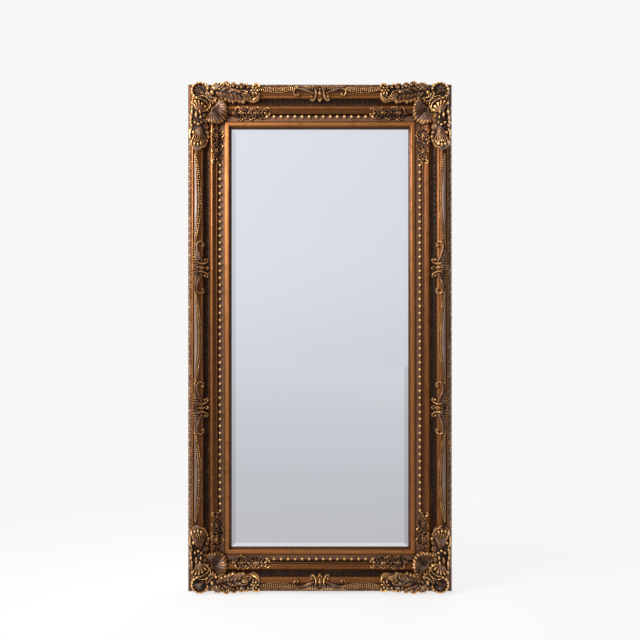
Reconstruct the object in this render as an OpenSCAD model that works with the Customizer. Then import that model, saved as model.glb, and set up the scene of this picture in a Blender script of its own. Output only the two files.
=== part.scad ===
// Carved floor and wall mirror: a bevelled glass in a deep mitred moulding that carries applied
// ornament, closed at the back by a board under turn buttons, with two hinged hanging rings.
// +X is to the viewer's right, +Z is up and the viewer looks along +Y at the front.

/* [Frame] */
// Width of the frame at its outer edge
frame_w = 895; // [820:5:1100]
// Height of the frame at its outer edge
frame_h = 1720; // [1560:10:1900]
// Height of the flat side of the frame, from the back to the carved slope
side_h = 36; // [30:1:40]
// Distance of the side cartouches from the middle of the frame
cartouche_rise = 236; // [200:4:260]

/* [Glass and back] */
// Thickness of the mirror glass
glass_t = 5; // [4:0.5:6]
// Thickness left at the rim of the glass by its bevel
glass_rim_t = 3; // [2:0.5:3.5]
// Width of the bevel
bevel_w = 25; // [15:1:30]
// Thickness of the foam sheet between the glass and the board
foam_t = 2; // [1:0.5:2]
// Thickness of the backing board
board_t = 5; // [4:0.5:6]

/* [Ornament] */
// Diameter of a pearl in the row round the glass
pearl_d = 11; // [8:0.5:12]
// Distance from pearl to pearl
pearl_pitch = 24; // [20:0.2:30]
// How far the corner carving stands proud of the moulding
carving_t = 10; // [6:0.5:12]

/* [Hardware] */
// Length of a turn button
button_l = 36; // [30:1:44]
// Thickness of the turn buttons and corner plates
plate_t = 1.6; // [1.2:0.2:2]
// Wire diameter of a hanging ring
ring_wire = 4; // [3:0.5:4]
// Height of the hanging rings above the middle of the frame
hanger_rise = 400; // [360:10:460]

/* [Hidden] */
$fn = 32;

// Moulding, glass opening and rebate
rail_w = 143.5;
sight_w = frame_w - 2 * rail_w;
sight_h = frame_h - 2 * rail_w;
mid_z = frame_h / 2;
rebate_w = 12;
glass_lap = 10;
felt_t = 1;
glass_back_h = board_t + foam_t;
rebate_h = glass_back_h + glass_rim_t + (glass_t - glass_rim_t) * glass_lap / bevel_w + felt_t;
channel_h = 23;
torus_top = 72;
glue = 0.1;
over = 400;

// Hangers: a steel strap rolled into an eye, and a ring that swings in it
strap_w = 20;
strap_t = 1.5;
strap_l = 64;
eye_play = 0.08;
eye_r = ring_wire / 2 + eye_play;
ring_half = (strap_w + ring_wire) / 2 + 1.5;
ring_leg = 14;
hanger_x = sight_w / 2 + 85;
hanger_z = mid_z + hanger_rise;
strap_holes = [38, 54];

// The back plane's Y, chosen so that the whole object is centred on Y = 0
front_max = torus_top + carving_t;
back_max = 2 * (eye_r + strap_t);
back_y = (front_max - back_max) / 2;

// Screws
screw_r = 1.75;
screw_play = 0.05;
head_r = 3.6;
head_t = 1.8;
screw_l = 15;

// Turn buttons, corner plates and bumpers
button_w = 13;
button_play = 0.08;
button_tail = 8;
button_from_sight = rebate_w + 8;
button_rise = 480;
plate_leg = 75;
plate_w = 22;
plate_inset = 46;
plate_holes = [30, 62];
bumper_r = 9;
bumper_t = 3;
bumper_inset = 24;

// ---------- Moulding profile ----------
// u is the distance outward from the sight edge and h the height over the back plane.

function arc(c, ru, rh, from, to, n) =
    [for (i = [0:n]) let (a = from + (to - from) * i / n) c + [ru * cos(a), rh * sin(a)]];
slope_steps = 8;
outer_slope = [
    for (i = [0:slope_steps]) let (t = i / slope_steps)
        [rail_w - 15.5 * t, side_h + (59 - side_h) * t + 2.5 * sin(360 * t)]
];
scotia_mid = [76.5, 55];
scotia_steps = 7;
front = concat(
    outer_slope,
    arc([124.5, 59.5], 3.5, 3.5, 0, 180, 6),
    arc([109.2, 58], 11.7, torus_top - 58, 6, 170, 10),
    [[97, 59.5], [95, 60.5], [92, 59]],
    arc(scotia_mid, 13.5, 15, 0, -90, scotia_steps),
    [[72.5, 40.5]],
    arc([61, 44], 5, 4.5, 0, 180, 6),
    [[55, 41.5], [52, 39]],
    arc([46, 37.5], 2.8, 2.6, 0, 180, 5),
    [[43, 34], [43, channel_h], [22.5, channel_h], [22, 26], [15, 27.8], [8, 28.2], [6.8, 27.4], [0, 17]]
);
pearl_u = 36.7;

// ---------- Places ----------
// Sides are numbered 0 right, 1 top, 2 left and 3 bottom. Inside side(k), +X points out from the
// middle of the mirror and Z runs along the rail.

function out_half(k) = (k % 2 == 0 ? sight_w : sight_h) / 2;
function run_half(k) = (k % 2 == 0 ? sight_h : sight_w) / 2 + rail_w;

module side(k)
    translate([0, 0, mid_z]) rotate([0, -90 * k, 0]) children();

// What belongs to a corner is made at the top left, and mirrored to where sx and sz point
corner_sides = [1, 2];
module mirrored(sx, sz)
    translate([0, 0, mid_z]) mirror([sx > 0 ? 1 : 0, 0, 0]) mirror([0, 0, sz < 0 ? 1 : 0])
    translate([0, 0, -mid_z]) children();

// From the top left corner, X and Z run inward
module from_corner()
    translate([-frame_w / 2, 0, frame_h]) mirror([0, 0, 1]) children();

// A 2D outline seen from the front, run right through the frame
module through() rotate([90, 0, 0]) linear_extrude(over, center = true) children();

// A section of the moulding, run for a length along side k
module run(k, points, length)
    translate([out_half(k), back_y, 0]) rotate([180, 0, 0])
    linear_extrude(length, center = true) polygon(points);

// Keeps what lies between the mitres of side k
module mitred(k) {
    reach = out_half(k) + rail_w;
    intersection() {
        children();
        through() polygon([
            [reach - over, over - run_half(k)], [reach - over, run_half(k) - over],
            [reach, run_half(k)], [reach, -run_half(k)]
        ]);
    }
}

// The moulding's solid body on side k, with its front raised by t
module raised(k, t)
    mitred(k) run(k, concat([[rail_w, -over / 4]], [for (p = front) p + [0, t]], [[0, -over / 4]]),
                  2 * run_half(k));

// Applied ornament: the outlines in children, as a plate of thickness t on the moulding
module relief(sides, t)
    difference() {
        intersection() {
            children();
            union() for (k = sides) side(k) raised(k, t);
        }
        for (k = sides) side(k) raised(k, glue);
    }

// ---------- Fasteners ----------

// A slotted pan head screw that goes in along -Y, with its head resting at the origin
module screw()
    difference() {
        rotate([-90, 0, 0]) rotate_extrude() polygon([
            [0, -screw_l], [screw_r, 3 - screw_l], [screw_r, 0], [head_r, 0],
            [head_r, head_t / 2], [head_r * 0.7, head_t], [0, head_t]
        ]);
        translate([-head_r - 1, head_t * 0.55, -0.4]) cube([2 * head_r + 2, head_t, 0.8]);
    }

module screws(spots, lift)
    for (p = spots) translate([p.x, back_y + lift, p.y]) screw();

// Screw places as [x, z] over the whole frame
button_spots = concat(
    [for (s = [-1, 1], rise = [button_rise, 0, -button_rise])
        [s * (sight_w / 2 + button_from_sight), mid_z + rise]],
    [for (s = [1, -1]) [0, mid_z + s * (sight_h / 2 + button_from_sight)]]
);
plate_line = plate_inset + plate_w / 2;
plate_spots = [
    for (sx = [-1, 1], sz = [-1, 1], d = plate_holes, flat = [0, 1])
        [sx * (frame_w / 2 - plate_line - flat * (d - plate_w / 2)),
         mid_z + sz * (frame_h / 2 - plate_line - (1 - flat) * (d - plate_w / 2))]
];
hanger_spots = [for (s = [-1, 1], d = strap_holes) [s * hanger_x, hanger_z - d]];

// ---------- Rails and applied strips ----------

module rail(k) color("saddlebrown")
    difference() {
        side(k) mitred(k) run(k, concat(
            [[rail_w, 0]], front, [[0, rebate_h], [rebate_w, rebate_h], [rebate_w, 0]]
        ), 2 * run_half(k));
        for (p = concat(button_spots, plate_spots, hanger_spots))
            translate([p.x, back_y + 1, p.y]) rotate([90, 0, 0])
                cylinder(r = screw_r + screw_play, h = screw_l + 2);
    }

// Strip of running leaves on the outer slope
outer_band_end = 81;
module outer_leaf_band(k) color("peru") {
    line = [for (i = [1:slope_steps - 1]) outer_slope[i]];
    side(k) run(k, concat(
        [for (p = line) p + [glue, glue]],
        [for (i = [len(line) - 1:-1:0]) line[i] + [1.3, 1.3]]
    ), 2 * (run_half(k) - outer_band_end));
}

// Strip of leaves in the scotia
function scotia_at(inset) = arc(scotia_mid, 13.5 - inset, 15 - inset, 0, -90, scotia_steps);
module inner_leaf_band(k) color("sienna")
    side(k) run(k, concat(
        [for (i = [1:scotia_steps - 1]) scotia_at(glue)[i]],
        [for (i = [scotia_steps - 1:-1:1]) scotia_at(1.6)[i]]
    ), 2 * (run_half(k) - arm_end - 4));

// Pearls along the channel between the flower sprays
module pearl_row(k) color("goldenrod") {
    count = floor(2 * (run_half(k) - spray_to - 5) / pearl_pitch);
    for (i = [0:count])
        side(k) translate([
            out_half(k) + pearl_u, back_y - channel_h - glue - pearl_d / 2, (i - count / 2) * pearl_pitch
        ]) sphere(d = pearl_d);
}

// ---------- Ornament on the rails ----------

// A swag of beads, which bows inward between its ends
swag_w = 8;
swag_t = 3;
swag_ends_u = 115;
swag_mid_u = 101;
swag_gap = 4;
cartouche_half = 76;
arm_end = 236;
function swag_point(t, half, across) =
    [swag_mid_u + (swag_ends_u - swag_mid_u) * t * t + across, half * t];
module swag_outline(half) {
    n = 10;
    polygon(concat(
        [for (i = [-n:n]) swag_point(i / n, half, -swag_w / 2)],
        [for (i = [n:-1:-n]) swag_point(i / n, half, swag_w / 2)]
    ));
}
module bead_swags(k) color("darkgoldenrod") {
    start = (k % 2 == 0 ? cartouche_rise : 0) + cartouche_half + swag_gap;
    end = run_half(k) - arm_end - swag_gap;
    relief([k], swag_t) side(k) through() translate([out_half(k), 0]) {
        for (s = [-1, 1]) translate([0, s * (start + end) / 2]) swag_outline((end - start) / 2);
        if (k % 2 == 0) swag_outline(cartouche_rise - cartouche_half - swag_gap);
    }
}

// An oval with a lobed edge
module lobed(ru, rz, lobes, depth)
    polygon([
        for (i = [0:71]) let (a = 5 * i, r = 1 - depth + depth * cos(lobes * a))
            [ru * r * cos(a), rz * r * sin(a)]
    ]);

module cartouche(k, rise) color("darkgoldenrod")
    relief([k], 7) side(k) through() translate([out_half(k) + 109, rise])
        lobed(17, cartouche_half, 12, 0.06);

// ---------- Corner ornament ----------

// Acanthus arms along both rails, and the shell where they meet
arm_from = 59;
arm_line = 42;
shell_line = 41;
shell_r = 30;
scallop_line = 102;
scallop_r = 34;
function arm_half(t) = (26 - 4 * t) * (0.88 + 0.12 * abs(sin(720 * t)));
function arm_point(t, way) = [arm_from + (arm_end - arm_from) * t, arm_line + way * arm_half(t)];
module arm_outline() {
    n = 20;
    polygon(concat(
        [for (i = [0:n]) arm_point(i / n, 1)],
        [for (i = [n:-1:0]) arm_point(i / n, -1)]
    ));
}
module corner_carving(sx, sz) color("darkgoldenrod")
    mirrored(sx, sz) relief(corner_sides, carving_t) from_corner() through()
        difference() {
            union() {
                translate([shell_line, shell_line]) lobed(shell_r, shell_r, 12, 0.05);
                arm_outline();
                mirror([1, -1]) arm_outline();
            }
            translate([scallop_line, scallop_line]) circle(scallop_r + 1);
        }

// Domed scallop shell that faces the glass
module corner_scallop(sx, sz) color("peru")
    mirrored(sx, sz) difference() {
        from_corner() translate([scallop_line, back_y, scallop_line]) intersection() {
            through() lobed(scallop_r, scallop_r, 16, 0.05);
            rotate([90, 0, 0]) rotate_extrude()
                polygon(concat([[0, 0], [scallop_r, 0]], arc([0, 50], scallop_r, 18, 0, 90, 8)));
        }
        for (k = corner_sides) side(k) raised(k, glue);
    }

// Sprays of flowers beside the pearls, one along each rail
spray_from = 148;
spray_to = 262;
spray_line = 97;
spray_h = 51;
function spray_half(t) = 20 * (1 - 0.5 * t * t) * (0.88 + 0.12 * cos(1080 * t));
function spray_point(t, way) = [spray_from + (spray_to - spray_from) * t, spray_line + way * spray_half(t)];
module spray_outline() {
    n = 18;
    polygon(concat(
        [for (i = [0:n]) spray_point(i / n, 1)],
        [for (i = [n:-1:0]) spray_point(i / n, -1)]
    ));
}
module flower_sprays(sx, sz) color("sienna")
    mirrored(sx, sz) difference() {
        from_corner() translate([0, back_y, 0]) rotate([90, 0, 0]) linear_extrude(spray_h) {
            spray_outline();
            mirror([1, -1]) spray_outline();
        }
        for (k = corner_sides) side(k) raised(k, glue);
    }

// ---------- Glass and back ----------

glass_w = sight_w + 2 * glass_lap;
glass_h = sight_h + 2 * glass_lap;

// A sheet behind the opening, whose back is at height h
module sheet(w, high, t, h)
    translate([-w / 2, back_y - h - t, mid_z - high / 2]) cube([w, t, high]);

module mirror_glass() color("lightsteelblue")
    hull() {
        sheet(glass_w, glass_h, glass_rim_t, glass_back_h);
        sheet(glass_w - 2 * bevel_w, glass_h - 2 * bevel_w, glass_t, glass_back_h);
    }

module glass_edge_felt() color("black")
    difference() {
        sheet(sight_w + 2 * rebate_w - 1, sight_h + 2 * rebate_w - 1, felt_t, rebate_h - felt_t);
        sheet(sight_w + 2, sight_h + 2, 3 * felt_t, rebate_h - 2 * felt_t);
    }

module foam_sheet() color("whitesmoke") sheet(glass_w, glass_h, foam_t, board_t);

module backing_board() color("burlywood") sheet(glass_w, glass_h, board_t, 0);

// ---------- Back hardware ----------

// A turn button on the screw at p, with its long end turned by a from straight down
module turn_button(p, a) color("silver")
    translate([p.x, back_y + glue + plate_t, p.y]) rotate([0, a, 0]) rotate([90, 0, 0])
    linear_extrude(plate_t) difference() {
        union() {
            translate([-button_w / 2, button_w / 2 + button_tail - button_l])
                square([button_w, button_l - button_w]);
            for (y = [button_tail - button_w / 2, button_tail + button_w / 2 - button_l])
                translate([0, y]) circle(d = button_w);
        }
        circle(screw_r + button_play);
    }

module turn_button_screws() color("gray") screws(button_spots, 2 * glue + plate_t);

module corner_plates() color("silver")
    for (sx = [-1, 1], sz = [-1, 1]) difference() {
        mirrored(sx, sz) from_corner() translate([plate_inset, back_y + plate_t, plate_inset])
            rotate([90, 0, 0]) linear_extrude(plate_t) {
                square([plate_leg, plate_w]);
                square([plate_w, plate_leg]);
            }
        for (p = plate_spots) translate([p.x, back_y - 1, p.y]) rotate([-90, 0, 0])
            cylinder(r = screw_r + screw_play, h = 2 + plate_t);
    }

module corner_plate_screws() color("gray") screws(plate_spots, plate_t);

module hanger_strap(s) color("silver")
    translate([s * hanger_x, back_y, hanger_z]) difference() {
        union() {
            translate([-strap_w / 2, 0, -strap_l]) cube([strap_w, strap_t, strap_l]);
            translate([-strap_w / 2, eye_r + strap_t, 0]) rotate([0, 90, 0])
                cylinder(r = eye_r + strap_t, h = strap_w);
        }
        translate([-strap_w, eye_r + strap_t, 0]) rotate([0, 90, 0]) cylinder(r = eye_r, h = 2 * strap_w);
        for (d = strap_holes) translate([0, -1, -d]) rotate([-90, 0, 0])
            cylinder(r = screw_r + screw_play, h = 2 + strap_t);
    }

module hanger_screws() color("gray") screws(hanger_spots, strap_t);

// A ring of wire with one straight side, which turns in the strap's eye and hangs down from it
module hanging_ring(s) color("lightgray")
    translate([s * hanger_x, back_y + eye_r + strap_t, hanger_z]) {
        translate([-ring_half, 0, 0]) rotate([0, 90, 0]) cylinder(d = ring_wire, h = 2 * ring_half);
        for (x = [-ring_half, ring_half]) {
            translate([x, 0, 0]) sphere(d = ring_wire);
            translate([x, 0, -ring_leg]) cylinder(d = ring_wire, h = ring_leg);
        }
        translate([0, 0, -ring_leg]) rotate([-90, 0, 0])
            rotate_extrude(angle = 180) translate([ring_half, 0]) circle(d = ring_wire);
    }

module wall_bumpers() color("dimgray")
    for (sx = [-1, 1], sz = [-1, 1])
        mirrored(sx, sz) from_corner() translate([bumper_inset, back_y, bumper_inset])
            rotate([-90, 0, 0]) cylinder(r = bumper_r, h = bumper_t);

rail(2);  // rail_left
rail(0);  // rail_right
rail(1);  // rail_top
rail(3);  // rail_bottom
outer_leaf_band(2);  // outer_leaf_band_left
outer_leaf_band(0);  // outer_leaf_band_right
outer_leaf_band(1);  // outer_leaf_band_top
outer_leaf_band(3);  // outer_leaf_band_bottom
inner_leaf_band(2);  // inner_leaf_band_left
inner_leaf_band(0);  // inner_leaf_band_right
inner_leaf_band(1);  // inner_leaf_band_top
inner_leaf_band(3);  // inner_leaf_band_bottom
pearl_row(2);  // pearl_row_left
pearl_row(0);  // pearl_row_right
pearl_row(1);  // pearl_row_top
pearl_row(3);  // pearl_row_bottom
bead_swags(2);  // bead_swags_left
bead_swags(0);  // bead_swags_right
bead_swags(1);  // bead_swags_top
bead_swags(3);  // bead_swags_bottom
cartouche(2, -cartouche_rise);  // cartouche_left_upper
cartouche(2, cartouche_rise);  // cartouche_left_lower
cartouche(0, cartouche_rise);  // cartouche_right_upper
cartouche(0, -cartouche_rise);  // cartouche_right_lower
cartouche(1, 0);  // cartouche_top
cartouche(3, 0);  // cartouche_bottom
corner_carving(-1, 1);  // corner_carving_top_left
corner_carving(1, 1);  // corner_carving_top_right
corner_carving(-1, -1);  // corner_carving_bottom_left
corner_carving(1, -1);  // corner_carving_bottom_right
corner_scallop(-1, 1);  // corner_scallop_top_left
corner_scallop(1, 1);  // corner_scallop_top_right
corner_scallop(-1, -1);  // corner_scallop_bottom_left
corner_scallop(1, -1);  // corner_scallop_bottom_right
flower_sprays(-1, 1);  // flower_sprays_top_left
flower_sprays(1, 1);  // flower_sprays_top_right
flower_sprays(-1, -1);  // flower_sprays_bottom_left
flower_sprays(1, -1);  // flower_sprays_bottom_right
mirror_glass();
glass_edge_felt();
foam_sheet();
backing_board();
turn_button(button_spots[0], 90);  // turn_button_left_upper
turn_button(button_spots[1], 90);  // turn_button_left_middle
turn_button(button_spots[2], 90);  // turn_button_left_lower
turn_button(button_spots[3], -90);  // turn_button_right_upper
turn_button(button_spots[4], -90);  // turn_button_right_middle
turn_button(button_spots[5], -90);  // turn_button_right_lower
turn_button(button_spots[6], 0);  // turn_button_top
turn_button(button_spots[7], 180);  // turn_button_bottom
turn_button_screws();
corner_plates();
corner_plate_screws();
hanger_strap(-1);  // hanger_strap_left
hanger_strap(1);  // hanger_strap_right
hanger_screws();
hanging_ring(-1);  // hanging_ring_left
hanging_ring(1);  // hanging_ring_right
wall_bumpers();
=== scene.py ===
import math

import bmesh
import bpy
import numpy as np
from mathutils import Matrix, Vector


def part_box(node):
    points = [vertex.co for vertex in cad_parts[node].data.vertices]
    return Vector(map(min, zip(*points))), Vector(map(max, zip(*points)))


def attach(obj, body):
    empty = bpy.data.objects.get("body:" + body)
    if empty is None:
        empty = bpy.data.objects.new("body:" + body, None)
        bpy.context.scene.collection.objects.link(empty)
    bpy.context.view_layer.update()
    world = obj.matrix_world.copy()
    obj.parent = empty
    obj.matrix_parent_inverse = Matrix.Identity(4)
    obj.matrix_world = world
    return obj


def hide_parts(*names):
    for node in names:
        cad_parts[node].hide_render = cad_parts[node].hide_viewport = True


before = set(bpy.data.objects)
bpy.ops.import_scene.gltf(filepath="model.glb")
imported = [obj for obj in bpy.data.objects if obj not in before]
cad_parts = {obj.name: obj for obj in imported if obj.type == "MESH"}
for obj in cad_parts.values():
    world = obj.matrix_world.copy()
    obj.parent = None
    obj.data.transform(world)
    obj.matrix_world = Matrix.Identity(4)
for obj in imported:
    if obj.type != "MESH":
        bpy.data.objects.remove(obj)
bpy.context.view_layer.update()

# The frame's own measures, in millimetres. v runs inward from the outer edge and s along a rail.
MM = 0.001
left_lo, left_hi = (np.array(corner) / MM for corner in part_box("rail_left"))
top_lo, top_hi = (np.array(corner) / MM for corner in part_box("rail_top"))
HALF_W = -left_lo[0]
SIGHT_HALF_W = -left_hi[0]
HEIGHT = top_hi[2]
MID_Z = HEIGHT / 2
SIGHT_HALF_H = top_lo[2] - MID_Z
RAIL_W = HALF_W - SIGHT_HALF_W
BACK_Y = left_hi[1]

GLASS_LAP = 10
BEVEL_W = 25
REBATE_H = 12.5
CARTOUCHE_RISE = 236
CARTOUCHE_HALF = 80
STRIP_INSET = 80
ARM_END = 240
random = np.random.default_rng(7)


# ---------- The moulding's surface ----------

def moulding_profile():
    """Distances from the sight edge and heights over the back, off the mitre of the left rail."""
    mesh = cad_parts["rail_left"].data
    co = np.empty(3 * len(mesh.vertices))
    mesh.vertices.foreach_get("co", co)
    x, y, z = co.reshape(-1, 3).T / MM
    u = -x - SIGHT_HALF_W
    h = BACK_Y - y
    on_mitre = np.abs(z - MID_Z - SIGHT_HALF_H - u) < 0.05
    on_front = on_mitre & (h > REBATE_H)
    corners = {(round(a, 2), round(b, 2)) for a, b in zip(u[on_front], h[on_front])}
    return np.array(sorted(corners)).T


PROFILE_U, PROFILE_H = moulding_profile()


def moulding(v):
    """Height of the plain moulding at a distance v from its outer edge."""
    return np.interp(RAIL_W - v, PROFILE_U, PROFILE_H)


def bridged(reach, softness, outward=0):
    """The moulding with its hollows bridged, as the ground that applied carving stands on.

    A hollow is bridged within reach of its edges, and toward the outer edge within reach + outward.
    """
    margin = 40.0
    v = np.arange(-margin, RAIL_W + margin)
    h = moulding(v)
    h = np.max([np.roll(h, i) for i in range(-reach - outward, reach + 1)], axis=0)
    kernel = np.exp(-0.5 * (np.arange(-3 * softness, 3 * softness + 1) / softness) ** 2)
    h = np.convolve(h, kernel / kernel.sum(), mode="same")
    return lambda at: np.maximum(np.interp(at, v, h), moulding(at))


# ---------- Relief carving ----------

def curve(points, spacing=0.8):
    """Evenly spread points on a smooth line through the given ones, and how far along each is."""
    p = np.array(points, float)
    p = np.vstack([2 * p[0] - p[1], p, 2 * p[-1] - p[-2]])
    t = np.linspace(0, 1, 12, endpoint=False)[:, None]
    parts = []
    for a, b, c, d in zip(p, p[1:], p[2:], p[3:]):
        parts.append(0.5 * (2 * b + (c - a) * t + (2 * a - 5 * b + 4 * c - d) * t**2
                            + (3 * b - a - 3 * c + d) * t**3))
    line = np.vstack(parts + [p[-2:-1]])
    far = np.concatenate([[0], np.cumsum(np.hypot(*np.diff(line, axis=0).T))])
    count = max(3, int(far[-1] / spacing))
    at = np.linspace(0, far[-1], count)
    return np.column_stack([np.interp(at, far, line[:, i]) for i in (0, 1)]), at / far[-1]


class Relief:
    """Carving as heights over the back plane, on a grid over part of one rail or of one corner."""

    def __init__(self, v_range, s_range, pitch, ground, corner=False):
        self.pitch = pitch
        self.v0, self.s0 = v_range[0], s_range[0]
        v = np.arange(v_range[0], v_range[1] + pitch, pitch)
        s = np.arange(s_range[0], s_range[1] + pitch, pitch)
        self.v, self.s = np.meshgrid(v, s, indexing="ij")
        depth = np.minimum(self.v, self.s) if corner else self.v
        self.base = moulding(depth)
        self.ground = ground(depth)
        self.top = self.base - 1.0

    def window(self, points, reach):
        """The part of the grid within reach of the points."""
        lo = np.min(points, axis=0) - reach
        hi = np.max(points, axis=0) + reach
        i0, j0 = (max(0, int((a - b) / self.pitch)) for a, b in zip(lo, (self.v0, self.s0)))
        i1, j1 = (int((a - b) / self.pitch) + 2 for a, b in zip(hi, (self.v0, self.s0)))
        return slice(i0, max(i1, 0)), slice(j0, max(j1, 0))

    def raise_to(self, window, height, inside):
        """Lifts the carving to a height where it is still lower, inside a form only."""
        top = self.top[window]
        top[inside] = np.maximum(top, height)[inside]

    def stroke(self, points, widths, lifts, crease=0.0):
        """A rounded ridge along a line. widths and lifts are spread evenly from its root to its tip."""
        line, t = curve(points)
        half = np.interp(t, np.linspace(0, 1, len(widths)), widths)
        lift = np.interp(t, np.linspace(0, 1, len(lifts)), lifts)
        window = self.window(line, max(widths))
        v, s = self.v[window], self.s[window]
        if not v.size:
            return
        gap = (v[..., None] - line[:, 0]) ** 2 + (s[..., None] - line[:, 1]) ** 2
        score = gap / half**2
        nearest = score.argmin(axis=-1)
        q = np.sqrt(np.take_along_axis(score, nearest[..., None], -1)[..., 0])
        round_top = np.sqrt(np.clip(1 - q**2, 0, 1)) - crease * np.exp(-((q / 0.3) ** 2))
        self.raise_to(window, self.ground[window] + lift[nearest] * round_top, q < 1)

    def drop(self, v, s, across, along, lift, tilt=0.0):
        """An oval dome. tilt turns it, in degrees."""
        window = self.window(np.array([[v, s]]), max(across, along))
        c, d = math.cos(math.radians(tilt)), math.sin(math.radians(tilt))
        dv, ds = self.v[window] - v, self.s[window] - s
        q = np.hypot((dv * c + ds * d) / across, (ds * c - dv * d) / along)
        dome = np.sqrt(np.clip(1 - q**2, 0, 1))
        self.raise_to(window, self.ground[window] + lift * dome, q < 1)

    def bead(self, v, s, radius, lift):
        self.drop(v, s, radius, radius, lift)

    def shell(self, hinge, heading, spread, reach, ribs, hollow, rim):
        """A ribbed fan that is hollow at its hinge and turned up at its rim. Angles are in degrees."""
        window = self.window(np.array([hinge]), reach)
        dv, ds = self.v[window] - hinge[0], self.s[window] - hinge[1]
        turn = (np.degrees(np.arctan2(ds, dv)) - heading + 180) % 360 - 180
        t = turn / spread
        wave = np.abs(np.cos(math.pi * ribs * t / 2))
        edge = reach * (1 - 0.16 * t**2) * (0.93 + 0.07 * wave)
        q = np.hypot(dv, ds) / np.maximum(edge, 1)
        lift = hollow + (rim - hollow) * q**1.6 + 2.6 * (wave - 0.6) * np.clip(q * 1.4, 0, 1)
        lift *= np.sqrt(np.clip(1 - q**10, 0, 1)) * np.sqrt(np.clip(1 - t**8, 0, 1))
        self.raise_to(window, self.ground[window] + lift, (q < 1) & (np.abs(t) < 1))

    def patina(self):
        """0 in the recesses and 1 on the high points: what stands over its surroundings is rubbed bright."""
        soft = self.top.copy()
        for _ in range(int(10 / self.pitch**2) + 4):
            soft[1:-1, 1:-1] = (soft[:-2, 1:-1] + soft[2:, 1:-1] + soft[1:-1, :-2] + soft[1:-1, 2:]) / 4
        full_lift = 14
        lift = np.clip((self.top - self.ground) / full_lift, 0, 1)
        return np.clip(0.10 + 0.22 * (self.top - soft) + 0.42 * lift, 0, 1)


def joined_cells(raised):
    """The grid's cells that carry carving, with no two of them meeting at one corner only."""
    cells = raised[:-1, :-1] | raised[1:, :-1] | raised[:-1, 1:] | raised[1:, 1:]
    cells[[0, -1], :] = False
    cells[:, [0, -1]] = False
    while True:
        a, b, c, d = cells[:-1, :-1], cells[1:, 1:], cells[1:, :-1], cells[:-1, 1:]
        pinched = (a & b & ~c & ~d) | (c & d & ~a & ~b)
        if not pinched.any():
            return cells
        for block in (a, b, c, d):
            block |= pinched


TOWARD_VIEWER = np.array([0, -1, 0])


def relief_mesh(relief, origin, v_way, s_way):
    """A closed shell: the carving in front, and a back that lies inside the moulding."""
    least_lift, front_sink, back_sink = 0.15, 0.6, 3.0
    raised = relief.top > relief.base + least_lift
    cells = joined_cells(raised)
    used = np.zeros_like(raised)
    for di in (0, 1):
        for dj in (0, 1):
            used[di:used.shape[0] - 1 + di, dj:used.shape[1] - 1 + dj] |= cells
    index = np.full(used.shape, -1)
    index[used] = np.arange(used.sum())
    count = int(used.sum())
    front_h = np.where(raised, relief.top, relief.base - front_sink)[used]
    back_h = relief.base[used] - back_sink
    flat = np.outer(relief.v[used], v_way) + np.outer(relief.s[used], s_way) + origin
    points = np.vstack([flat + np.outer(h, TOWARD_VIEWER) for h in (front_h, back_h)])

    i, j = np.nonzero(cells)
    a, b, c, d = index[i, j], index[i + 1, j], index[i + 1, j + 1], index[i, j + 1]
    quads = [np.column_stack([a, b, c, d]), np.column_stack([a, d, c, b]) + count]
    sides = {(0, -1): (a, b), (1, 0): (b, c), (0, 1): (c, d), (-1, 0): (d, a)}
    for (di, dj), (p, q) in sides.items():
        edge = ~cells[i + di, j + dj]
        p, q = p[edge], q[edge]
        quads.append(np.column_stack([q, p, p + count, q + count]))
    quads = np.vstack(quads)
    if np.dot(np.cross(v_way, s_way), TOWARD_VIEWER) < 0:
        quads = quads[:, ::-1]
    patina = np.concatenate([relief.patina()[used], np.zeros(count)])
    return points, quads, patina


def new_object(name, points, faces, patina, material):
    """A mesh object from arrays, in millimetres, with the same number of corners on every face."""
    mesh = bpy.data.meshes.new(name)
    mesh.vertices.add(len(points))
    mesh.vertices.foreach_set("co", np.ascontiguousarray(points * MM, dtype=np.float32).ravel())
    mesh.loops.add(faces.size)
    mesh.loops.foreach_set("vertex_index", np.ascontiguousarray(faces, dtype=np.int32).ravel())
    mesh.polygons.add(len(faces))
    mesh.polygons.foreach_set("loop_start", np.arange(0, faces.size, faces.shape[1], dtype=np.int32))
    mesh.update(calc_edges=True)
    layer = mesh.attributes.new("patina", "FLOAT", "POINT")
    layer.data.foreach_set("value", np.ascontiguousarray(patina, dtype=np.float32))
    mesh.shade_smooth()
    mesh.materials.append(material)
    obj = bpy.data.objects.new(name, mesh)
    bpy.context.scene.collection.objects.link(obj)
    return obj


def stand_in(obj, node):
    """Shows obj instead of a CAD node, moving with the frame."""
    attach(obj, "frame")
    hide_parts(node)


X, Z = np.array([1.0, 0, 0]), np.array([0, 0, 1.0])
SIDES = {
    "left": (np.array([-HALF_W, BACK_Y, MID_Z]), X, Z, HEIGHT / 2),
    "right": (np.array([HALF_W, BACK_Y, MID_Z]), -X, Z, HEIGHT / 2),
    "top": (np.array([0, BACK_Y, HEIGHT]), -Z, X, HALF_W),
    "bottom": (np.array([0, BACK_Y, 0]), Z, X, HALF_W),
}
CORNERS = {
    "top_left": (np.array([-HALF_W, BACK_Y, HEIGHT]), X, -Z),
    "top_right": (np.array([HALF_W, BACK_Y, HEIGHT]), -X, -Z),
    "bottom_left": (np.array([-HALF_W, BACK_Y, 0]), X, Z),
    "bottom_right": (np.array([HALF_W, BACK_Y, 0]), -X, Z),
}


# ---------- Materials ----------

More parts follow.
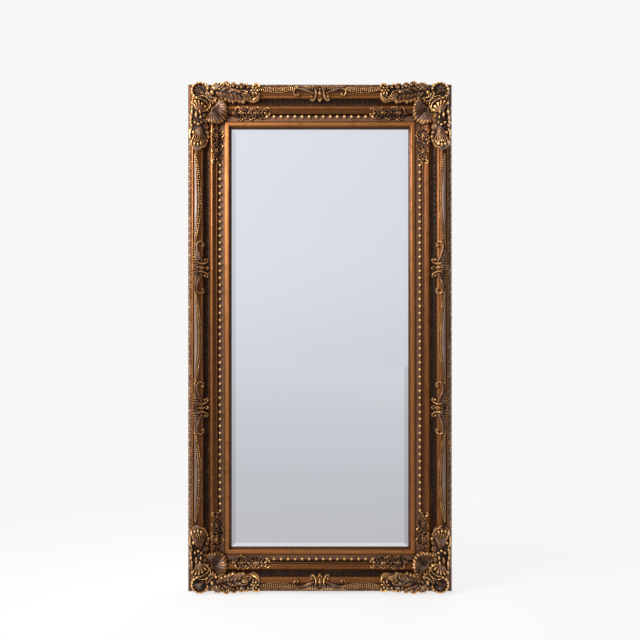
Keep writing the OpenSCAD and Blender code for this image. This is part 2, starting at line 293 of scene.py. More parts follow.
class Nodes:
    """Short ways to build the node tree of a material or a world."""

    def __init__(self, owner):
        owner.use_nodes = True
        self.owner = owner
        self.tree = owner.node_tree
        self.shader = self.tree.nodes.get("Principled BSDF")

    def add(self, kind, **settings):
        node = self.tree.nodes.new(kind)
        for key, value in settings.items():
            setattr(node, key, value)
        return node

    def put(self, socket, value):
        if isinstance(value, bpy.types.NodeSocket):
            self.tree.links.new(value, socket)
        else:
            socket.default_value = value

    def set(self, **values):
        for key, value in values.items():
            self.put(self.shader.inputs[key.replace("_", " ")], value)

    def math(self, operation, a, b=0.0, clamp=False):
        node = self.add("ShaderNodeMath", operation=operation, use_clamp=clamp)
        self.put(node.inputs[0], a)
        self.put(node.inputs[1], b)
        return node.outputs[0]

    def position(self):
        node = self.add("ShaderNodeTexCoord")
        return node.outputs["Object"]

    def separate(self, vector):
        node = self.add("ShaderNodeSeparateXYZ")
        self.put(node.inputs[0], vector)
        return node.outputs

    def combine(self, x, y, z):
        node = self.add("ShaderNodeCombineXYZ")
        for socket, value in zip(node.inputs, (x, y, z)):
            self.put(socket, value)
        return node.outputs[0]

    def noise(self, vector, scale, detail, roughness=0.55):
        node = self.add("ShaderNodeTexNoise")
        self.put(node.inputs["Vector"], vector)
        node.inputs["Scale"].default_value = scale
        node.inputs["Detail"].default_value = detail
        node.inputs["Roughness"].default_value = roughness
        return node.outputs["Fac"]

    def ramp(self, factor, stops):
        node = self.add("ShaderNodeValToRGB")
        elements = node.color_ramp.elements
        while len(elements) < len(stops):
            elements.new(0.5)
        for element, (at, color) in zip(elements, sorted(stops)):
            element.position = at
            grey = isinstance(color, (int, float))
            element.color = (color, color, color, 1) if grey else (*color, 1)
        self.put(node.inputs[0], factor)
        return node.outputs[0]

    def mix(self, factor, a, b, blend="MIX"):
        node = self.add("ShaderNodeMix", data_type="RGBA", blend_type=blend)
        self.put(node.inputs[0], factor)
        for socket, value in ((node.inputs[6], a), (node.inputs[7], b)):
            self.put(socket, (*value, 1) if isinstance(value, tuple) else value)
        return node.outputs[2]

    def bump(self, height, strength, distance):
        node = self.add("ShaderNodeBump")
        node.inputs["Strength"].default_value = strength
        node.inputs["Distance"].default_value = distance
        self.put(node.inputs["Height"], height)
        return node.outputs[0]


DARK = (0.014, 0.0062, 0.0031)
UMBER = (0.070, 0.029, 0.013)
BRONZE = (0.165, 0.071, 0.028)
GOLD = (0.33, 0.152, 0.055)
BRIGHT = (0.78, 0.46, 0.18)
TAUPE = (0.19, 0.165, 0.155)
BARE_WOOD = (0.30, 0.20, 0.12)


def gilding(name, lift, wash):
    """Antique gold rubbed on the high points over a dark brown ground, with a greyish wash.

    lift moves every tone up or down the ramp, and wash is the share of the grey.
    """
    n = Nodes(bpy.data.materials.new(name))
    where = n.position()
    worn = n.noise(where, 260, 5)
    blotch = n.noise(where, 38, 3)
    patina = n.add("ShaderNodeAttribute", attribute_name="patina").outputs["Fac"]
    level = n.math("ADD", patina, n.math("MULTIPLY", n.math("SUBTRACT", worn, 0.5), 0.4))
    level = n.math("ADD", level, n.math("MULTIPLY", n.math("SUBTRACT", blotch, 0.5), 0.9))
    level = n.math("ADD", level, lift, clamp=True)
    color = n.ramp(level, [(0.14, DARK), (0.32, UMBER), (0.54, BRONZE), (0.78, GOLD), (1.0, BRIGHT)])
    washed = n.math("MULTIPLY", n.ramp(blotch, [(0.46, 0.0), (0.60, 1.0)]), wash)
    band = n.ramp(level, [(0.28, 0.0), (0.42, 1.0), (0.66, 0.0)])
    color = n.mix(n.math("MULTIPLY", washed, band), color, TAUPE)
    n.set(Base_Color=color, Metallic=n.ramp(level, [(0.3, 0.05), (0.8, 0.7)]),
          Roughness=n.ramp(level, [(0.2, 0.7), (0.6, 0.42), (0.9, 0.28)]), Specular_IOR_Level=0.15,
          Normal=n.bump(n.noise(where, 900, 2), 0.25, 0.0006))
    return n.owner


def rail_coordinates(n):
    """Distance outward from the sight edge over the moulding's width, and the way along the rail."""
    x, _, z = n.separate(n.position())
    across_x = n.math("SUBTRACT", n.math("ABSOLUTE", x), SIGHT_HALF_W * MM)
    from_mid = n.math("SUBTRACT", z, MID_Z * MM)
    across_z = n.math("SUBTRACT", n.math("ABSOLUTE", from_mid), SIGHT_HALF_H * MM)
    across = n.math("MAXIMUM", across_x, across_z)
    upright = n.math("GREATER_THAN", across_x, across_z)
    along = n.math("ADD", n.math("MULTIPLY", upright, z),
                   n.math("MULTIPLY", n.math("SUBTRACT", 1.0, upright), x))
    return across, along, upright


def moulding_finish():
    """Brown stain and rubbed gold in bands that follow the moulding's ridges and hollows, with painted shade
    and painted light in some of them.

    The bands' places are distances outward from the sight edge.
    """
    n = Nodes(bpy.data.materials.new("moulding_finish"))
    across, along, upright = rail_coordinates(n)
    share = n.math("DIVIDE", across, RAIL_W * MM)
    stain, rust, amber = (0.060, 0.020, 0.006), (0.165, 0.060, 0.018), (0.31, 0.122, 0.035)
    greyed, hollow = (0.19, 0.092, 0.053), (0.036, 0.013, 0.005)
    # Painted shade in the bands: DARK at 22.3, 42.6 and 120 paints the shade in the creases, and the hollow
    # colour, darker than the stain, is partly painted shade in the scotia. The rust and amber round 96 are
    # partly painted light on the torus's inner slope. The other bands are stain and rubbed gold.
    bands = [
        (0, stain), (5, rust), (8, amber), (15, amber), (20, rust), (22.3, DARK), (24, greyed),
        (40, greyed), (42.6, DARK), (46, rust), (49, stain), (52, rust), (60, rust), (64, amber),
        (67, rust), (73, stain), (76, hollow), (87, hollow), (90, rust), (96, amber),
        (102, rust), (106, stain), (117, stain), (120, DARK), (124, amber), (127, rust), (130, stain),
        (138, rust), (143.5, stain),
    ]
    color = n.ramp(share, [(u / RAIL_W, c) for u, c in bands])
    stretched = n.combine(n.math("MULTIPLY", across, 900), n.math("MULTIPLY", along, 14), upright)
    streak = n.noise(stretched, 1, 5)
    wear = n.noise(n.position(), 30, 5)
    shade = n.ramp(streak, [(0.25, 0.45), (0.5, 0.95), (0.78, 1.45)])
    color = n.mix(1.0, color, shade, "MULTIPLY")
    color = n.mix(n.ramp(wear, [(0.52, 0.0), (0.75, 0.45)]), color, stain)
    on_side = n.math("GREATER_THAN", across, (RAIL_W - 0.3) * MM)
    on_back = n.math("GREATER_THAN", n.separate(n.position())[1], (BACK_Y - 0.4) * MM)
    color = n.mix(n.math("MULTIPLY", on_side, 0.6), color, DARK)
    color = n.mix(on_back, color, BARE_WOOD)
    n.set(Base_Color=color, Metallic=0.5, Specular_IOR_Level=0.15,
          Roughness=n.ramp(streak, [(0.3, 0.50), (0.7, 0.33)]),
          Normal=n.bump(streak, 0.18, 0.0006))
    return n.owner


def pearl_finish():
    """Brighter gold, rubbed all over."""
    n = Nodes(bpy.data.materials.new("pearl_gold"))
    where = n.position()
    grain = n.noise(where, 240, 4)
    color = n.ramp(grain, [(0.3, GOLD), (0.6, BRIGHT)])
    n.set(Base_Color=color, Metallic=0.45, Roughness=n.ramp(grain, [(0.3, 0.42), (0.7, 0.25)]))
    return n.owner


def mirror_finish():
    """Silvered glass, with a trace of unevenness, and painted shade that darkens its reflection where it is
    bevelled.
    """
    n = Nodes(bpy.data.materials.new("silvered_glass"))
    haze = n.noise(n.position(), 3, 2)
    across, _, _ = rail_coordinates(n)
    bevelled = n.math("GREATER_THAN", across, (GLASS_LAP - BEVEL_W) * MM)
    clear = n.ramp(haze, [(0.2, (0.905, 0.915, 0.935)), (0.8, (0.915, 0.925, 0.94))])
    # Painted shade: the reflection on the bevels is darkened by 0.22.
    painted_bevel_shade = n.math("SUBTRACT", 1.0, n.math("MULTIPLY", bevelled, 0.22))
    n.set(Base_Color=n.mix(1.0, clear, painted_bevel_shade, "MULTIPLY"), Metallic=1.0,
          Roughness=n.ramp(haze, [(0.0, 0.004), (1.0, 0.012)]))
    return n.owner


def speckled(name, dark, light, scale, roughness, metallic=0.0, bump=0.1, stretch=(1, 1, 1)):
    """A plain worked surface whose tone varies with its grain."""
    n = Nodes(bpy.data.materials.new(name))
    x, y, z = n.separate(n.position())
    where = n.combine(*(n.math("MULTIPLY", a, k) for a, k in zip((x, y, z), stretch)))
    grain = n.noise(where, scale, 6, 0.6)
    low, high = roughness
    n.set(Base_Color=n.ramp(grain, [(0.3, dark), (0.7, light)]), Metallic=metallic,
          Roughness=n.ramp(grain, [(0.3, high), (0.7, low)]), Normal=n.bump(grain, bump, 0.0004))
    return n.owner


MOULDING = moulding_finish()
# Copies of one gilding with their tones lifted or lowered. This is partly how much each part is rubbed and
# partly painted light and shade: the lowered copies paint the shade on the scallop, the cartouches, the
# sprays and the leaves in the scotia, and the raised copies paint light on the beads and outer leaves.
GILT = gilding("antique_gilding", 0.0, 0.9)
BEAD_GILT = gilding("bead_gilding", 0.36, 0.1)
STRIP_GILT = gilding("strip_gilding", 0.22, 0.2)
CARTOUCHE_GILT = gilding("cartouche_gilding", -0.10, 0.9)
SHADED_GILT = gilding("shaded_gilding", -0.16, 0.6)
SPRAY_GILT = gilding("spray_gilding", -0.03, 0.1)
INNER_GILT = gilding("inner_gilding", -0.12, 0.0)
CUSHION = speckled("cushion_wash", (0.14, 0.075, 0.048), (0.23, 0.16, 0.125), 60, (0.36, 0.50), 0.2,
                   stretch=(1, 1, 0.2))
PEARL = pearl_finish()
MIRROR = mirror_finish()
FELT = speckled("black_felt", (0.006, 0.006, 0.006), (0.03, 0.03, 0.03), 1500, (0.9, 1.0), bump=0.4)
FOAM = speckled("white_foam", (0.68, 0.68, 0.66), (0.84, 0.84, 0.82), 900, (0.8, 0.95), bump=0.3)
BOARD = speckled("fibreboard", (0.20, 0.125, 0.068), (0.36, 0.245, 0.145), 420, (0.7, 0.85), bump=0.2)
ZINC = speckled("zinc_plate", (0.42, 0.42, 0.41), (0.66, 0.66, 0.64), 350, (0.28, 0.42), 0.95)
NICKEL = speckled("nickel_plate", (0.55, 0.54, 0.51), (0.78, 0.77, 0.73), 500, (0.16, 0.30), 1.0)
RUBBER = speckled("black_rubber", (0.012, 0.012, 0.012), (0.035, 0.035, 0.035), 700, (0.6, 0.8))


def finish_for(node):
    """A CAD node's material, by the start of the node's name."""
    starts = {
        "rail": MOULDING, "pearl": PEARL, "mirror_glass": MIRROR, "glass_edge_felt": FELT,
        "foam_sheet": FOAM, "backing_board": BOARD, "turn_button": ZINC, "corner_plate": ZINC,
        "hanger_strap": NICKEL, "hanging_ring": NICKEL, "hanger_screws": ZINC, "wall_bumpers": RUBBER,
    }
    return next((m for start, m in starts.items() if node.startswith(start)), GILT)


for node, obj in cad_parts.items():
    obj.data.materials.clear()
    obj.data.materials.append(finish_for(node))


# ---------- Strips along the rails ----------

def outer_leaves(half_run):
    """Low leaves that follow each other along the outer slope."""
    end = half_run - STRIP_INSET
    relief = Relief((-1, 20), (-end, end), 1.0, moulding)
    pitch = 25.0
    for i in range(int(-end / pitch), int(end / pitch) + 1):
        s = i * pitch
        relief.stroke([(5, s - 10), (9, s - 3), (10.5, s + 5), (8, s + 11)], [1.6, 4.2, 4.6, 2.0],
                      [1.2, 4.4, 4.8, 1.6], 0.2)
        relief.stroke([(13, s + 4), (9, s + 12), (4, s + 15)], [1.8, 3.4, 1.8], [1.5, 3.6, 1.8])
        relief.bead(4.5, s + 4, 3.2, 4.4)
        relief.bead(13.5, s - 7, 2.6, 3.2)
    return relief


def inner_leaves(half_run):
    """Leaf tips that hang into the scotia, over a row of slanted leaves at its foot."""
    end = half_run - ARM_END - 4
    relief = Relief((46, 77), (-end, end), 1.0, moulding)
    pitch = 18.5
    for i in range(int(-end / pitch) - 1, int(end / pitch) + 2):
        s = i * pitch
        relief.stroke([(57, s), (60, s), (64.5, s + 1)], [6.0, 7.4, 4.2], [1.0, 2.4, 1.8], 0.35)
        relief.stroke([(73, s + 1), (69, s + 7), (68.5, s + 13)], [1.5, 2.8, 1.4], [1.6, 2.6, 1.2], 0.2)
        relief.bead(71.5, s - 4, 2.0, 2.4)
    return relief


# A swag's innermost string at its middle, how far its ends lie outside that, row pitch and rows
UPRIGHT_SWAG = (48, 17, 6.0, 2)
LEVEL_SWAG = (39, 10, 5.4, 4)
SWAGS = {"left": UPRIGHT_SWAG, "right": UPRIGHT_SWAG, "top": LEVEL_SWAG, "bottom": LEVEL_SWAG}


def swag_line(name, half, row=0):
    """The innermost string of a swag, or one of the rows outside it. All bow toward the glass."""
    middle, bow, pitch, _ = SWAGS[name]
    t = np.linspace(-1, 1, 25)
    return np.column_stack([middle - bow * t**2 - pitch * row * (1 - 0.5 * t**4), half * t])


def sphere_mesh():
    bm = bmesh.new()
    bmesh.ops.create_icosphere(bm, subdivisions=2, radius=1)
    points = np.array([v.co for v in bm.verts])
    faces = np.array([[v.index for v in f.verts] for f in bm.faces])
    bm.free()
    return points, faces


BALL_POINTS, BALL_FACES = sphere_mesh()
BEAD_R, BEAD_SPACING, BEAD_STAND = 2.3, 6.0, 2.2


def balls(places, radius):
    """Points, faces and patina of a ball at each place. The patina darkens each ball away from its front:
    partly rubbed gilding on the crown, partly painted shade between the beads.
    """
    points = (places[:, None, :] + radius * BALL_POINTS).reshape(-1, 3)
    faces = (np.arange(len(places))[:, None, None] * len(BALL_POINTS) + BALL_FACES).reshape(-1, 3)
    # Partly painted shade: the ball's sides are darker than its front.
    to_viewer = np.tile(-BALL_POINTS[:, 1], len(places))
    return points, faces, np.clip(1.2 * to_viewer - 0.45, 0, 1)


def bead_strings(name, origin, v_way, s_way, spans):
    """Rows of beads along the swags of one rail. The rows draw together toward their ends."""
    places = []
    for middle, half in spans:
        for row in range(SWAGS[name][-1]):
            line, _ = curve(swag_line(name, half - 3, row), BEAD_SPACING)
            height = moulding(line[:, 0]) + BEAD_STAND
            places.append(np.outer(line[:, 0], v_way) + np.outer(line[:, 1] + middle, s_way)
                          + np.outer(height, TOWARD_VIEWER) + origin)
    points, faces, patina = balls(np.vstack(places), BEAD_R)
    return new_object(f"beads_{name}", points, faces, patina, BEAD_GILT)


def cushions(name, spans, half_run):
    """Smooth crescents between the outer leaves and the strings of beads."""
    relief = Relief((14, 60), (-half_run + ARM_END, half_run - ARM_END), 1.0, moulding)
    straight, overlap, full_lift = 25.0, 2, 2.6
    for middle, half in spans:
        line = swag_line(name, half, SWAGS[name][-1])
        bowed = np.interp(relief.s - middle, line[:, 1], line[:, 0], left=0, right=0) + overlap
        width = bowed - straight
        t = np.clip((relief.v - straight) / np.maximum(width, 1), 0, 1)
        lift = full_lift * (4 * t * (1 - t)) ** 0.3 * np.clip(width / 4, 0, 1)
        inside = (width > 1.5) & (relief.v > straight) & (relief.v < bowed)
        relief.top[inside] = (relief.base + lift)[inside]
    return relief


def swag_spans(name, half_run):
    """Middle and half length of each swag on a rail."""
    upright = name in ("left", "right")
    start = (CARTOUCHE_RISE if upright else 0) + CARTOUCHE_HALF + 2
    end = half_run - ARM_END - 3
    spans = [(way * (start + end) / 2, (end - start) / 2) for way in (-1, 1)]
    return spans + ([(0, CARTOUCHE_RISE - CARTOUCHE_HALF - 2)] if upright else [])


for name, (origin, v_way, s_way, half_run) in SIDES.items():
    spans = swag_spans(name, half_run)
    outer = new_object(f"outer_leaves_{name}",
                       *relief_mesh(outer_leaves(half_run), origin, v_way, s_way), STRIP_GILT)
    inner = new_object(f"inner_leaves_{name}",
                       *relief_mesh(inner_leaves(half_run), origin, v_way, s_way), INNER_GILT)
    stand_in(outer, f"outer_leaf_band_{name}")
    stand_in(inner, f"inner_leaf_band_{name}")
    stand_in(bead_strings(name, origin, v_way, s_way, spans), f"bead_swags_{name}")
    if SWAGS[name] == UPRIGHT_SWAG:
        cushion = new_object(f"cushion_{name}",
                             *relief_mesh(cushions(name, spans, half_run), origin, v_way, s_way), CUSHION)
        stand_in(cushion, f"bead_swags_{name}")


# ---------- Cartouches ----------

def cartouche(outward=0):
    """Paired scrolls that end in balls, round a pearl drop, with fans of blades to the outside.

    The whole is moved toward the outer edge by outward.
    """
    relief = Relief((8, 80), (-92, 92), 0.9, bridged(4, 5, outward))

    def at(points, way=1):
        return [(v - outward, way * s) for v, s in points]

    for way in (-1, 1):
        blades = 9
        for i in range(blades):
            t = i / (blades - 1)
            root = (48 - 9 * t, 16 + 48 * t)
            bend = (33 - 2 * t, 8 + 64 * t)
            tip = (23 + 3 * t, 7 + 75 * t)
            relief.stroke(at([root, bend, tip], way), [1.8, 3.3, 2.0], [3.0, 5.6, 3.0], 0.2)
        inner_scroll = [(30, 21), (42, 15), (52, 13.5), (62, 17), (68, 24), (66, 31), (60, 29)]
        outer_scroll = [(50, 22), (43, 38), (37, 56), (35, 72), (39, 84), (49, 87), (56, 80), (54, 74)]
        relief.stroke(at(inner_scroll, way), [2.2, 3.4, 4.2, 3.8, 3.0, 2.5, 2.2],
                      [3.0, 6.5, 8.5, 8.0, 6.5, 5.5, 4.0])
        relief.stroke(at(outer_scroll, way), [3.6, 5.2, 5.0, 4.0, 3.2, 2.8, 2.4, 2.2],
                      [5.0, 7.0, 7.5, 7.0, 6.0, 5.5, 5.0, 4.0])
        for v, s in ((60, 27), (53.5, 73)):
            relief.bead(v - outward, way * s, 4.6, 11)
    for s in (-4.5, 0, 4.5):
        relief.stroke(at([(38, s * 0.6), (30, s * 0.9), (21, s * 1.3)]),
                      [1.6, 2.6, 1.8], [3.5, 4.8, 3.0], 0.3)
    relief.stroke(at([(44, 0), (50, 0), (58, 0)]), [4.2, 6.2, 3.0], [6.0, 9.0, 5.0])
    relief.bead(37 - outward, 0, 3.6, 8.0)
    relief.stroke(at([(64, -5), (69, 0), (64, 5)]), [2.2, 3.4, 2.2], [4.0, 6.5, 4.0])
    return relief


UPRIGHT_CARTOUCHE = cartouche()
LEVEL_CARTOUCHE = cartouche(9)
CARTOUCHE_PLACES = {
    "left_upper": ("left", CARTOUCHE_RISE), "left_lower": ("left", -CARTOUCHE_RISE),
    "right_upper": ("right", CARTOUCHE_RISE), "right_lower": ("right", -CARTOUCHE_RISE),
    "top": ("top", 0), "bottom": ("bottom", 0),
}
for name, (side, rise) in CARTOUCHE_PLACES.items():
    origin, v_way, s_way, _ = SIDES[side]
    relief = UPRIGHT_CARTOUCHE if rise else LEVEL_CARTOUCHE
    carved = new_object(f"carved_cartouche_{name}",
                        *relief_mesh(relief, origin + rise * s_way, v_way, s_way), CARTOUCHE_GILT)
    stand_in(carved, f"cartouche_{name}")


# ---------- Corner ornament ----------
# Places are (a, b): a runs inward from the frame's left or right edge, b from its top or bottom edge.

def polar(middle, angle, radius):
    """The place at an angle in degrees and a radius round a middle."""
    a = math.radians(angle)
    return middle[0] + radius * math.cos(a), middle[1] + radius * math.sin(a)


def leaf(relief, points, width, lift):
    """A creased leaf, broad in its first half and turned over at its tip."""
    relief.stroke(points, [width * k for k in (0.5, 1.2, 1.05, 0.75, 0.9)],
                  [lift * k for k in (0.6, 0.9, 0.85, 0.8, 1)], 0.12)


def ribbon(relief, points, width, lift):
    """A scroll with a raised edge on either side of a hollow."""
    line, _ = curve(points, 6)
    beside = np.gradient(line, axis=0)[:, ::-1] * [-1, 1]
    beside /= np.hypot(*beside.T)[:, None]
    taper = np.sin(np.linspace(0.25, math.pi - 0.25, len(line)))[:, None]
    relief.stroke(line, [width * 0.5, width, width * 0.5], [lift * 0.55, lift * 0.7, lift * 0.5])
    for way in (-1, 1):
        relief.stroke(line + way * beside * width * taper,
                      [1.2, 2.3, 2.4, 1.4], [lift * k for k in (0.6, 1, 1, 0.6)])


def shell_cup(relief):
    """A cupped shell that fills the corner: leaf ribs in its hollow and gold lumps on its rim."""
    middle, radius = (46, 34), 30
    relief.shell((64, 50), 222, 62, 48, 7, 1, 6)
    for angle in range(112, 350, 26):
        relief.drop(*polar(middle, angle, radius - 4), 5.2, 7.6, 14, angle)
    for angle in (188, 222, 256):
        leaf(relief, [(62, 48), polar(middle, angle, 8), polar(middle, angle, 19)], 3.6, 7.5)


def arm_beside_top(relief):
    """Acanthus along the top or bottom rail."""
    relief.stroke([(84, 40), (130, 37), (180, 40), (228, 34)], [16, 25, 25, 15], [4, 5, 5, 4])
    relief.drop(106, 20, 19, 15, 10)
    root = (97, 33)
    for a, b in ((88, 16), (97, 9), (108, 7), (119, 11)):
        leaf(relief, [root, (0.35 * root[0] + 0.65 * a, 0.4 * root[1] + 0.6 * b), (a, b)], 4.2, 13.5)
    for a, b, size in ((104, 25, 4.2), (112, 29, 4.2), (120, 24, 4.6)):
        relief.bead(a, b, size, 15)
    relief.drop(87, 40, 8, 9.5, 15, 20)
    leaf(relief, [(124, 26), (126, 12), (134, 5), (144, 9), (141, 17)], 4.6, 14)
    leaf(relief, [(118, 34), (132, 26), (146, 25), (156, 33)], 5.4, 12)
    leaf(relief, [(138, 40), (152, 33), (168, 32), (180, 39)], 5.6, 12)
    leaf(relief, [(162, 41), (176, 35), (192, 34), (204, 39)], 5.0, 11)
    for a, b, size in ((136, 11, 9), (160, 14, 11), (187, 18, 12)):
        relief.bead(a, b, size, 11.5)
    for a, b, size in ((155, 10, 5), (165, 12, 4.6), (158, 20, 4.6), (181, 12, 5.2), (193, 15, 5),
                       (185, 24, 5), (203, 14, 6), (207, 24, 4.6), (149, 22, 4.6), (172, 24, 4.4)):
        relief.bead(a, b, size, 15)
    for i in range(4):
        leaf(relief, [(101 + 11 * i, 37 + 2 * i), (109 + 11.5 * i, 47 + 2.4 * i),
                      (118 + 12 * i, 56 + 3 * i)], 5.0, 10.5)
    for a, b in ((146, 44), (160, 46), (172, 48)):
        leaf(relief, [(a, b), (a + 8, b + 10), (a + 17, b + 17), (a + 20, b + 10)], 5.4, 11)
    relief.drop(201, 51, 19, 10.5, 9, 14)
    for way in (-1, 0, 1):
        relief.stroke([(187, 46 + 3 * way), (202, 51 + 6 * way), (217, 56 + 2 * way)],
                      [1.5, 2.2, 1.5], [10, 13, 10])
    flower = (229, 34)
    for angle in range(-60, 300, 60):
        relief.drop(*polar(flower, angle, 9.5), 7.0, 5.0, 13, angle)
    relief.bead(*flower, 5, 15.5)
    leaf(relief, [(222, 22), (229, 13), (240, 12), (243, 20)], 4.4, 12)
    relief.stroke([(212, 62), (226, 61), (238, 54), (243, 42)], [3, 6, 6, 3], [6, 8, 8, 6])


def arm_beside_side(relief):
    """Acanthus along the left or right rail: a crown of lobes, drops, and a ribbed leaf with a fringe."""
    relief.stroke([(39, 84), (40, 120), (42, 170), (36, 214)], [22, 24, 25, 17], [4, 5, 5, 4])
    crown = (38, 103)
    for angle in range(238, 345, 20):
        leaf(relief, [crown, polar(crown, angle + 8, 20), polar(crown, angle, 34)], 4.6, 14)
    for a, b, across, along in ((20, 104, 4.6, 11), (34, 114, 6.2, 15), (47, 103, 5.2, 12),
                                (17, 124, 4.6, 8), (49, 122, 4.6, 8), (16, 139, 4.8, 6)):
        relief.drop(a, b, across, along, 13)
    for a, b, across, along in ((57, 96, 4.4, 8), (59, 113, 6.8, 9), (61, 129, 8, 9), (62, 147, 9, 11)):
        relief.drop(a, b, across, along, 9)
    for a, b, across, along in ((30, 141, 5.5, 7), (41, 147, 6.5, 6), (51, 139, 4.5, 6), (19, 150, 5, 5)):
        relief.drop(a, b, across, along, 15)
    for i in range(6):
        a = 22 + 7.4 * i
        leaf(relief, [(43 + 1.4 * i, 154), (0.5 * (44 + a), 172), (a + 2, 190), (a - 3, 203)], 4.3, 12.5)
    relief.bead(25, 174, 7, 14)
    for a, b in ((66, 168), (68, 181), (65, 194)):
        relief.drop(a, b, 6, 8, 8)
    for a, b in ((19, 206), (29, 212), (40, 214), (51, 210)):
        relief.drop(a, b, 6.2, 8.5, 15)
    relief.stroke([(64, 200), (58, 214), (46, 221), (30, 221), (17, 213)], [3, 4, 4, 3], [6, 7, 7, 5])
    leaf(relief, [(18, 160), (12, 174), (13, 190)], 4.0, 11)


def corner():
    """The shell, its two acanthus arms, and the two ribbons that part them from the scallop."""
    relief = Relief((2, 256), (0, 240), 1.0, bridged(9, 4, 18), corner=True)
    arm_beside_top(relief)
    arm_beside_side(relief)
    shell_cup(relief)
    ribbon(relief, [(33, 62), (45, 57), (58, 57), (69, 63), (75, 73), (74, 86)], 5.6, 13.5)
    ribbon(relief, [(68, 34), (71, 46), (78, 56), (89, 60), (100, 55)], 5.4, 13.5)
    return relief


def scallop():
    """A hollow ribbed scallop turned up toward the glass, with beads round its hinge."""
    relief = Relief((58, 146), (58, 146), 0.9, bridged(9, 7), corner=True)
    relief.shell((82, 86), 36, 82, 56, 13, 7, 23)
    middle = (104, 99)
    for angle in range(95, 296, 18):
        relief.bead(*polar(middle, angle, 34), 3.9, 11)
    for angle in (150, 190, 230, 270):
        relief.bead(*polar(middle, angle, 21), 3.0, 12)
    return relief


def rose(relief, v, s, radius):
    """Six outer petals and four inner ones round a bead."""
    for ring, (count, share, lift) in enumerate(((6, 0.68, 7.5), (4, 0.36, 9.5))):
        for i in range(count):
            angle = 360 * (i + 0.5 * ring) / count
            relief.drop(*polar((v, s), angle, radius * share), radius * 0.30, radius * 0.42, lift, angle)
    relief.bead(v, s, radius * 0.2, 11)


def spray(relief, swap, start):
    """Two roses among curling leaves and buds, on the step beside the pearls."""
    def at(along, across):
        return (across, along) if swap else (along, across)

    line_at = 98
    stem = [(start + 11 * i, line_at + 4 * math.sin(1.9 * i)) for i in range(11)]
    relief.stroke([at(*p) for p in stem], [8, 15, 15, 12, 3], [1.5, 2.2, 2.2, 1.8, 1.0])
    for i, (along, across) in enumerate(stem[:-1]):
        size = 1 - 0.045 * i
        for way in (-1, 1):
            bow = 6 * random.random()
            leaf(relief, [at(along, across), at(along + 2 + bow, across + way * 10 * size),
                          at(along + 8 + bow, across + way * 19 * size),
                          at(along + 14 + bow, across + way * 13 * size)], 3.4, 7.5)
            relief.bead(*at(along + 7, across + way * (7 + bow) * size), 2.6, 8)
    for along in (start + 24, start + 74):
        rose(relief, *at(along, line_at), 11)


def sprays():
    """One spray along either rail from the corner's scallop."""
    relief = Relief((72, 288), (72, 288), 1.0, bridged(3, 4), corner=True)
    spray(relief, False, 158)
    spray(relief, True, 152)
    return relief


CORNER_PARTS = (
    ("corner_carving", corner(), GILT), ("corner_scallop", scallop(), SHADED_GILT),
    ("flower_sprays", sprays(), SPRAY_GILT),
)
for place, (origin, v_way, s_way) in CORNERS.items():
    for kind, relief, finish in CORNER_PARTS:
        carved = new_object(f"carved_{kind}_{place}", *relief_mesh(relief, origin, v_way, s_way), finish)
        stand_in(carved, f"{kind}_{place}")


# ---------- Studio ----------
# Lengths in metres from here on.

WHITE = (0.93, 0.93, 0.93)
FLOOR_FADE = 20.0
SHADOW_REACH = 4.0
CAMERA_BACK = 2.797
CAMERA_DROP = 0.048

def studio_world():
    """White behind the mirror. Behind the camera, a lit wall that fades downward and to the right."""
    world = bpy.data.worlds.new("studio")
    bpy.context.scene.world = world
    n = Nodes(world)
    direction = n.add("ShaderNodeTexCoord").outputs["Generated"]
    x, y, z = n.separate(direction)
    rise = n.ramp(n.math("ADD", n.math("MULTIPLY", z, 0.5), 0.5), [
        (0.0, (0.03, 0.03, 0.03)), (0.40, (0.10, 0.10, 0.10)), (0.47, (0.70, 0.71, 0.75)),
        (0.50, (0.70, 0.71, 0.75)), (0.532, (0.74, 0.76, 0.80)), (0.5625, (0.765, 0.785, 0.83)),
        (0.63, (0.79, 0.81, 0.86)), (0.70, (0.98, 1.0, 1.06)), (0.75, (1.0, 1.02, 1.08)),
        (0.80, (0.30, 0.30, 0.30)), (1.0, (0.20, 0.20, 0.20)),
    ])
    sideways = n.ramp(n.math("ADD", n.math("MULTIPLY", x, 0.5), 0.5), [
        (0.0, 0.35), (0.25, 0.60), (0.36, 1.05), (0.42, 1.04), (0.45, 1.03), (0.5, 1.0), (0.55, 0.975),
        (0.60, 1.1), (0.64, 1.25), (0.70, 0.45), (0.80, 0.25), (1.0, 0.20),
    ])
    room = n.mix(1.0, rise, sideways, "MULTIPLY")
    color = n.mix(n.math("GREATER_THAN", y, 0.0), room, WHITE)
    background = world.node_tree.nodes["Background"]
    n.put(background.inputs["Color"], color)


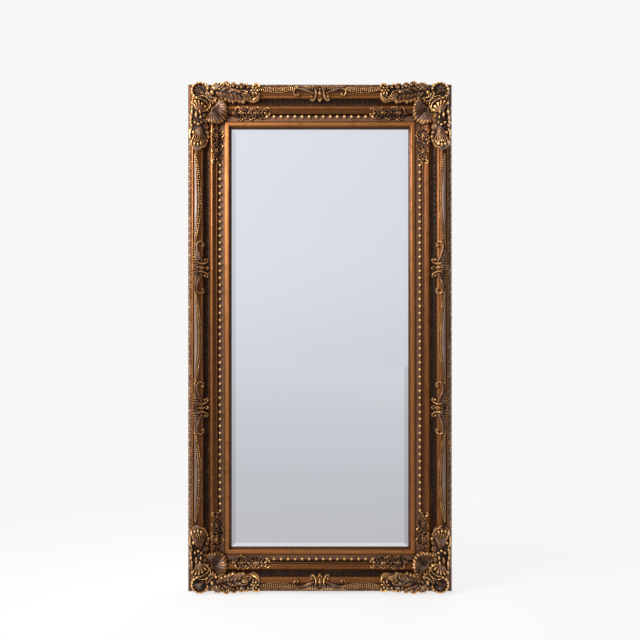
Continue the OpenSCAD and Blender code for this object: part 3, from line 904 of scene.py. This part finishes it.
def studio_floor():
    """A pale floor that glows, painted light from its own emission: white round the mirror and grey further
    in front, with a faint real shadow near it where part of it is diffuse.
    """
    reach = 40.0
    mesh = bpy.data.meshes.new("floor")
    corners = [(-reach, -reach, 0), (reach, -reach, 0), (reach, reach, 0), (-reach, reach, 0)]
    mesh.from_pydata(corners, [], [(0, 1, 2, 3)])
    floor = bpy.data.objects.new("floor", mesh)
    bpy.context.scene.collection.objects.link(floor)
    n = Nodes(bpy.data.materials.new("glowing_pale_floor"))
    in_front = n.math("MULTIPLY", n.separate(n.position())[1], -1 / FLOOR_FADE, clamp=True)
    color = n.ramp(in_front, [
        (0.0, WHITE), (0.0235, WHITE), (0.029, (0.53, 0.535, 0.56)),
        (0.085, (0.57, 0.58, 0.61)), (0.20, (0.62, 0.63, 0.665)), (0.54, (0.665, 0.675, 0.71)),
        (1.0, (0.70, 0.71, 0.75)),
    ])
    distance = n.add("ShaderNodeVectorMath", operation="LENGTH")
    n.put(distance.inputs[0], n.position())
    far = n.math("MULTIPLY", distance.outputs["Value"], 1 / SHADOW_REACH, clamp=True)
    share = n.ramp(far, [(0.0, 0.22), (0.3, 0.10), (0.8, 0.0)])
    # Painted light: the floor glows with its own colour, a little less near the mirror, where a diffuse
    # share takes the real shadow.
    n.set(Base_Color=color, Roughness=0.9, Specular_IOR_Level=0.0, Emission_Color=color)
    n.put(n.shader.inputs["Emission Strength"], n.math("SUBTRACT", 1.0, share))
    n.put(n.shader.inputs["Base Color"], n.mix(1.0, color, share, "MULTIPLY"))
    mesh.materials.append(n.owner)


def area_light(name, place, aim, size, power, color=(1, 1, 1)):
    """A soft rectangular lamp at a place, turned toward its aim."""
    data = bpy.data.lights.new(name, "AREA")
    data.shape = "RECTANGLE"
    data.size, data.size_y = size
    data.energy = power
    data.color = color
    light = bpy.data.objects.new(name, data)
    bpy.context.scene.collection.objects.link(light)
    light.location = place
    light.rotation_euler = (Vector(aim) - Vector(place)).to_track_quat("-Z", "Y").to_euler()


def studio_camera():
    """Level and square to the glass, just below its middle."""
    data = bpy.data.cameras.new("camera")
    data.sensor_width = 36
    data.lens = 45.74
    data.shift_y = 0.05
    camera = bpy.data.objects.new("camera", data)
    bpy.context.scene.collection.objects.link(camera)
    camera.location = (0, BACK_Y * MM - CAMERA_BACK, MID_Z * MM - CAMERA_DROP)
    camera.rotation_euler = (math.pi / 2, 0, 0)
    bpy.context.scene.camera = camera


studio_world()
studio_floor()
area_light("key", place=(-1.2, -1.0, 1.8), aim=(-0.2, 0, 1.0), size=(0.9, 0.9), power=54,
           color=(1.0, 0.97, 0.93))
area_light("back", place=(1.2, 2.6, 2.4), aim=(0, 0, 0.8), size=(2.0, 2.0), power=40)
studio_camera()
bpy.context.scene.view_settings.view_transform = "Standard"
